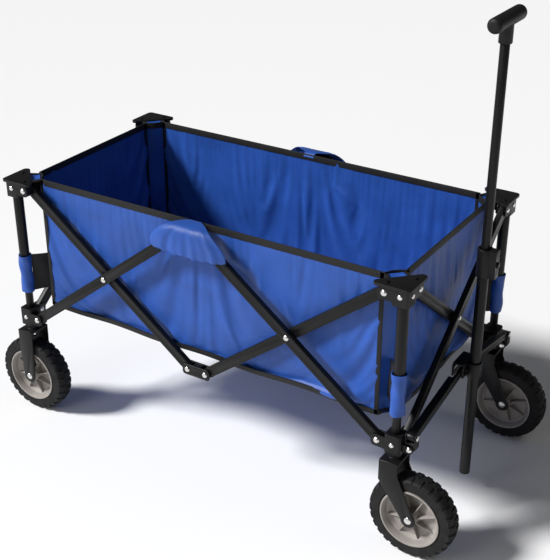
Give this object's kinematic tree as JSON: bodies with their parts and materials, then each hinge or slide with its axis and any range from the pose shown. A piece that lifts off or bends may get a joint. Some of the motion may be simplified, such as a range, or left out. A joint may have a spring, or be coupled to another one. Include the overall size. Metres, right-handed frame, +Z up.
{
  "type": "folding utility wagon",
  "caption": "Folding beach cart: scissor frame with telescoping corner posts, cloth tub, two caster and two fixed wheels, telescoping T handle.",
  "frame": {"origin": "ground point under the middle of the wagon's outline", "axes": "+X towards the handle end, +Y towards the far long side, +Z up"},
  "size_m": [1.143, 0.5276, 1.007],
  "materials": {
    "tube": "black powder coat, satin",
    "bracket": "moulded black nylon",
    "fork": "black powder coat, satin",
    "cloth": "royal blue coated polyester, plain weave",
    "rim": "moulded warm grey plastic",
    "tyre": "black foam rubber, block tread",
    "grip": "matt black moulded grip",
    "plastic": "moulded black plastic"
  },
  "bodies": {
    "far_front_lower": {"far_front_lower_bracket": "bracket", "far_front_inner_post": "tube"},
    "far_front_upper": {"far_front_upper_bracket": "bracket", "far_front_outer_post": "tube", "far_front_corner_cloth": "cloth"},
    "far_front_caster": {"far_front_fork": "fork"},
    "far_front_wheel": {"far_front_rim": "rim", "far_front_tyre": "tyre"},
    "far_front_inner_bar": {"far_front_inner_bar": "tube"},
    "far_front_outer_bar": {"far_front_outer_bar": "tube"},
    "far_rear_lower": {"far_rear_lower_bracket": "bracket", "far_rear_inner_post": "tube", "far_rear_fork": "fork"},
    "far_rear_upper": {"far_rear_upper_bracket": "bracket", "far_rear_outer_post": "tube", "far_rear_corner_cloth": "cloth"},
    "far_rear_wheel": {"far_rear_rim": "rim", "far_rear_tyre": "tyre"},
    "far_rear_inner_bar": {"far_rear_inner_bar": "tube"},
    "far_rear_outer_bar": {"far_rear_outer_bar": "tube"},
    "near_front_lower": {"near_front_lower_bracket": "bracket", "near_front_inner_post": "tube"},
    "near_front_upper": {"near_front_upper_bracket": "bracket", "near_front_outer_post": "tube", "front_wall": "cloth"},
    "near_front_caster": {"near_front_fork": "fork"},
    "near_front_wheel": {"near_front_rim": "rim", "near_front_tyre": "tyre"},
    "near_front_inner_bar": {"near_front_inner_bar": "tube"},
    "near_front_outer_bar": {"near_front_outer_bar": "tube"},
    "near_rear_lower": {"near_rear_lower_bracket": "bracket", "near_rear_inner_post": "tube", "near_rear_fork": "fork"},
    "near_rear_upper": {"near_rear_upper_bracket": "bracket", "near_rear_outer_post": "tube", "rear_wall": "cloth"},
    "near_rear_wheel": {"near_rear_rim": "rim", "near_rear_tyre": "tyre"},
    "near_rear_inner_bar": {"near_rear_inner_bar": "tube"},
    "near_rear_outer_bar": {"near_rear_outer_bar": "tube"},
    "front_inner_bar": {"front_inner_bar": "tube"},
    "front_outer_bar": {"front_outer_bar": "tube"},
    "rear_inner_bar": {"rear_inner_bar": "tube"},
    "rear_outer_bar": {"rear_outer_bar": "tube"},
    "near_bottom": {"near_bottom_joint": "bracket"},
    "near_top": {"near_top_joint": "bracket", "near_wall": "cloth", "tub_floor": "cloth"},
    "far_bottom": {"far_bottom_joint": "bracket"},
    "far_top": {"far_top_joint": "bracket", "far_wall": "cloth"},
    "far_knuckle": {"far_knuckle": "bracket"},
    "far_link": {"far_link": "tube"},
    "near_knuckle": {"near_knuckle": "bracket"},
    "near_link": {"near_link": "tube"},
    "handle_hub": {"handle_hub": "bracket", "handle_outer_tube": "tube"},
    "handle_grip": {"handle_inner_tube": "tube", "handle_grip": "grip"},
    "lock_button": {"lock_button": "plastic"}
  },
  "joints": [
    {"name": "frame_fold", "type": "hinge", "parent": "near_bottom", "child": "near_front_inner_bar", "pos_m": [-0.0015, -0.2275, 0.24], "axis": [0, -1, 0], "range_deg": [0, 36.3], "deforming": ["near_wall", "far_wall", "front_wall", "rear_wall", "tub_floor", "far_front_corner_cloth", "far_rear_corner_cloth"]},
    {"name": "near_rear_inner_foot", "type": "hinge", "parent": "near_bottom", "child": "near_rear_inner_bar", "pos_m": [-0.0455, -0.2275, 0.24], "axis": [0, 1, 0], "range_deg": [-0.5, 36.8]},
    {"name": "near_front_cross", "type": "hinge", "parent": "near_front_inner_bar", "child": "near_front_outer_bar", "pos_m": [0.201, -0.2345, 0.3965], "axis": [0, 1, 0], "range_deg": [-0.5, 73.1]},
    {"name": "near_front_outer_foot", "type": "hinge", "parent": "near_front_outer_bar", "child": "near_front_lower", "pos_m": [0.4035, -0.2415, 0.24], "axis": [0, -1, 0], "range_deg": [-0.5, 36.8]},
    {"name": "near_front_inner_head", "type": "hinge", "parent": "near_front_inner_bar", "child": "near_front_upper", "pos_m": [0.4035, -0.2275, 0.553], "axis": [0, 1, 0], "range_deg": [-0.5, 36.8]},
    {"name": "near_rear_cross", "type": "hinge", "parent": "near_rear_inner_bar", "child": "near_rear_outer_bar", "pos_m": [-0.248, -0.2345, 0.3965], "axis": [0, -1, 0], "range_deg": [-0.5, 73.1]},
    {"name": "near_rear_outer_foot", "type": "hinge", "parent": "near_rear_outer_bar", "child": "near_rear_lower", "pos_m": [-0.4505, -0.2415, 0.24], "axis": [0, 1, 0], "range_deg": [-0.5, 36.8]},
    {"name": "near_rear_inner_head", "type": "hinge", "parent": "near_rear_inner_bar", "child": "near_rear_upper", "pos_m": [-0.4505, -0.2275, 0.553], "axis": [0, -1, 0], "range_deg": [-0.5, 36.8]},
    {"name": "near_top_pivot", "type": "hinge", "parent": "near_front_outer_bar", "child": "near_top", "pos_m": [-0.0015, -0.2415, 0.553], "axis": [0, -1, 0], "range_deg": [-0.5, 36.8]},
    {"name": "front_outer_foot", "type": "hinge", "parent": "near_front_lower", "child": "front_outer_bar", "pos_m": [0.4425, -0.2025, 0.24], "axis": [1, 0, 0], "range_deg": [-0.5, 36.8]},
    {"name": "front_cross", "type": "hinge", "parent": "front_outer_bar", "child": "front_inner_bar", "pos_m": [0.4355, 0, 0.3965], "axis": [-1, 0, 0], "range_deg": [-0.5, 73.1]},
    {"name": "front_inner_foot", "type": "hinge", "parent": "front_inner_bar", "child": "far_front_lower", "pos_m": [0.4285, 0.2025, 0.24], "axis": [1, 0, 0], "range_deg": [-0.5, 36.8]},
    {"name": "front_outer_head", "type": "hinge", "parent": "front_outer_bar", "child": "far_front_upper", "pos_m": [0.4425, 0.2025, 0.553], "axis": [-1, 0, 0], "range_deg": [-0.5, 36.8]},
    {"name": "rear_outer_foot", "type": "hinge", "parent": "near_rear_lower", "child": "rear_outer_bar", "pos_m": [-0.4895, -0.2025, 0.24], "axis": [1, 0, 0], "range_deg": [-0.5, 36.8]},
    {"name": "rear_cross", "type": "hinge", "parent": "rear_outer_bar", "child": "rear_inner_bar", "pos_m": [-0.4825, 0, 0.3965], "axis": [-1, 0, 0], "range_deg": [-0.5, 73.1]},
    {"name": "rear_inner_foot", "type": "hinge", "parent": "rear_inner_bar", "child": "far_rear_lower", "pos_m": [-0.4755, 0.2025, 0.24], "axis": [1, 0, 0], "range_deg": [-0.5, 36.8]},
    {"name": "rear_outer_head", "type": "hinge", "parent": "rear_outer_bar", "child": "far_rear_upper", "pos_m": [-0.4895, 0.2025, 0.553], "axis": [-1, 0, 0], "range_deg": [-0.5, 36.8]},
    {"name": "far_rear_outer_foot", "type": "hinge", "parent": "far_rear_lower", "child": "far_rear_outer_bar", "pos_m": [-0.4505, 0.2415, 0.24], "axis": [0, -1, 0], "range_deg": [-0.5, 36.8]},
    {"name": "far_rear_cross", "type": "hinge", "parent": "far_rear_outer_bar", "child": "far_rear_inner_bar", "pos_m": [-0.248, 0.2345, 0.3965], "axis": [0, 1, 0], "range_deg": [-0.5, 73.1]},
    {"name": "far_rear_inner_foot", "type": "hinge", "parent": "far_rear_inner_bar", "child": "far_bottom", "pos_m": [-0.0455, 0.2275, 0.24], "axis": [0, -1, 0], "range_deg": [-0.5, 36.8]},
    {"name": "far_rear_outer_head", "type": "hinge", "parent": "far_rear_outer_bar", "child": "far_top", "pos_m": [-0.0455, 0.2415, 0.553], "axis": [0, 1, 0], "range_deg": [-0.5, 36.8]},
    {"name": "far_front_inner_foot", "type": "hinge", "parent": "far_bottom", "child": "far_front_inner_bar", "pos_m": [-0.0015, 0.2275, 0.24], "axis": [0, -1, 0], "range_deg": [-0.5, 36.8]},
    {"name": "far_front_cross", "type": "hinge", "parent": "far_front_inner_bar", "child": "far_front_outer_bar", "pos_m": [0.201, 0.2345, 0.3965], "axis": [0, 1, 0], "range_deg": [-0.5, 73.1]},
    {"name": "far_front_swivel", "type": "hinge", "parent": "far_front_lower", "child": "far_front_caster", "pos_m": [0.4355, 0.2345, 0.214], "axis": [0, 0, 1], "continuous": true},
    {"name": "far_front_spin", "type": "hinge", "parent": "far_front_caster", "child": "far_front_wheel", "pos_m": [0.4825, 0.2345, 0.089], "axis": [0, 1, 0], "continuous": true},
    {"name": "far_rear_spin", "type": "hinge", "parent": "far_rear_lower", "child": "far_rear_wheel", "pos_m": [-0.4825, 0.2345, 0.089], "axis": [0, 1, 0], "continuous": true},
    {"name": "near_front_swivel", "type": "hinge", "parent": "near_front_lower", "child": "near_front_caster", "pos_m": [0.4355, -0.2345, 0.214], "axis": [0, 0, 1], "continuous": true},
    {"name": "near_front_spin", "type": "hinge", "parent": "near_front_caster", "child": "near_front_wheel", "pos_m": [0.4825, -0.2345, 0.089], "axis": [0, 1, 0], "continuous": true},
    {"name": "near_rear_spin", "type": "hinge", "parent": "near_rear_lower", "child": "near_rear_wheel", "pos_m": [-0.4825, -0.2345, 0.089], "axis": [0, 1, 0], "continuous": true},
    {"name": "handle_swing", "type": "hinge", "parent": "near_front_lower", "child": "near_knuckle", "pos_m": [0.465, -0.2265, 0.232], "axis": [0, 1, 0], "range_deg": [0, 90]},
    {"name": "far_knuckle_swing", "type": "hinge", "parent": "far_front_lower", "child": "far_knuckle", "pos_m": [0.465, 0.2265, 0.232], "axis": [0, 1, 0], "range_deg": [-0.5, 90.5]},
    {"name": "near_link_pivot", "type": "hinge", "parent": "near_knuckle", "child": "near_link", "pos_m": [0.465, -0.2265, 0.256], "axis": [1, 0, 0], "range_deg": [-0.5, 58.23]},
    {"name": "far_link_pivot", "type": "hinge", "parent": "far_knuckle", "child": "far_link", "pos_m": [0.465, 0.2265, 0.256], "axis": [-1, 0, 0], "range_deg": [-0.5, 58.23]},
    {"name": "hub_pivot", "type": "hinge", "parent": "near_link", "child": "handle_hub", "pos_m": [0.465, -0.012, 0.29382], "axis": [-1, 0, 0], "range_deg": [-0.5, 58.23]},
    {"name": "handle_slide", "type": "slide", "parent": "handle_hub", "child": "handle_grip", "axis": [0, 0, 1], "range_m": [-0.35, 0]},
    {"name": "button_press", "type": "slide", "parent": "handle_hub", "child": "lock_button", "axis": [-1, 0, 0], "range_m": [0, 0.003], "stiffness_N_per_m": 600, "springref_m": -0.001}
  ],
  "couplings": [
    {"joint": "near_rear_inner_foot", "follows": "frame_fold", "ratio": 1},
    {"joint": "near_front_cross", "follows": "frame_fold", "ratio": 2},
    {"joint": "near_front_outer_foot", "follows": "frame_fold", "ratio": 1},
    {"joint": "near_front_inner_head", "follows": "frame_fold", "ratio": 1},
    {"joint": "near_rear_cross", "follows": "frame_fold", "ratio": 2},
    {"joint": "near_rear_outer_foot", "follows": "frame_fold", "ratio": 1},
    {"joint": "near_rear_inner_head", "follows": "frame_fold", "ratio": 1},
    {"joint": "near_top_pivot", "follows": "frame_fold", "ratio": 1},
    {"joint": "front_outer_foot", "follows": "frame_fold", "ratio": 1},
    {"joint": "front_cross", "follows": "frame_fold", "ratio": 2},
    {"joint": "front_inner_foot", "follows": "frame_fold", "ratio": 1},
    {"joint": "front_outer_head", "follows": "frame_fold", "ratio": 1},
    {"joint": "rear_outer_foot", "follows": "frame_fold", "ratio": 1},
    {"joint": "rear_cross", "follows": "frame_fold", "ratio": 2},
    {"joint": "rear_inner_foot", "follows": "frame_fold", "ratio": 1},
    {"joint": "rear_outer_head", "follows": "frame_fold", "ratio": 1},
    {"joint": "far_rear_outer_foot", "follows": "frame_fold", "ratio": 1},
    {"joint": "far_rear_cross", "follows": "frame_fold", "ratio": 2},
    {"joint": "far_rear_inner_foot", "follows": "frame_fold", "ratio": 1},
    {"joint": "far_rear_outer_head", "follows": "frame_fold", "ratio": 1},
    {"joint": "far_front_inner_foot", "follows": "frame_fold", "ratio": 1},
    {"joint": "far_front_cross", "follows": "frame_fold", "ratio": 2},
    {"joint": "far_knuckle_swing", "follows": "handle_swing", "ratio": 1},
    {"joint": "near_link_pivot", "follows": "frame_fold", "ratio": 1.5903},
    {"joint": "far_link_pivot", "follows": "frame_fold", "ratio": 1.5903},
    {"joint": "hub_pivot", "follows": "frame_fold", "ratio": 1.5903}
  ]
}
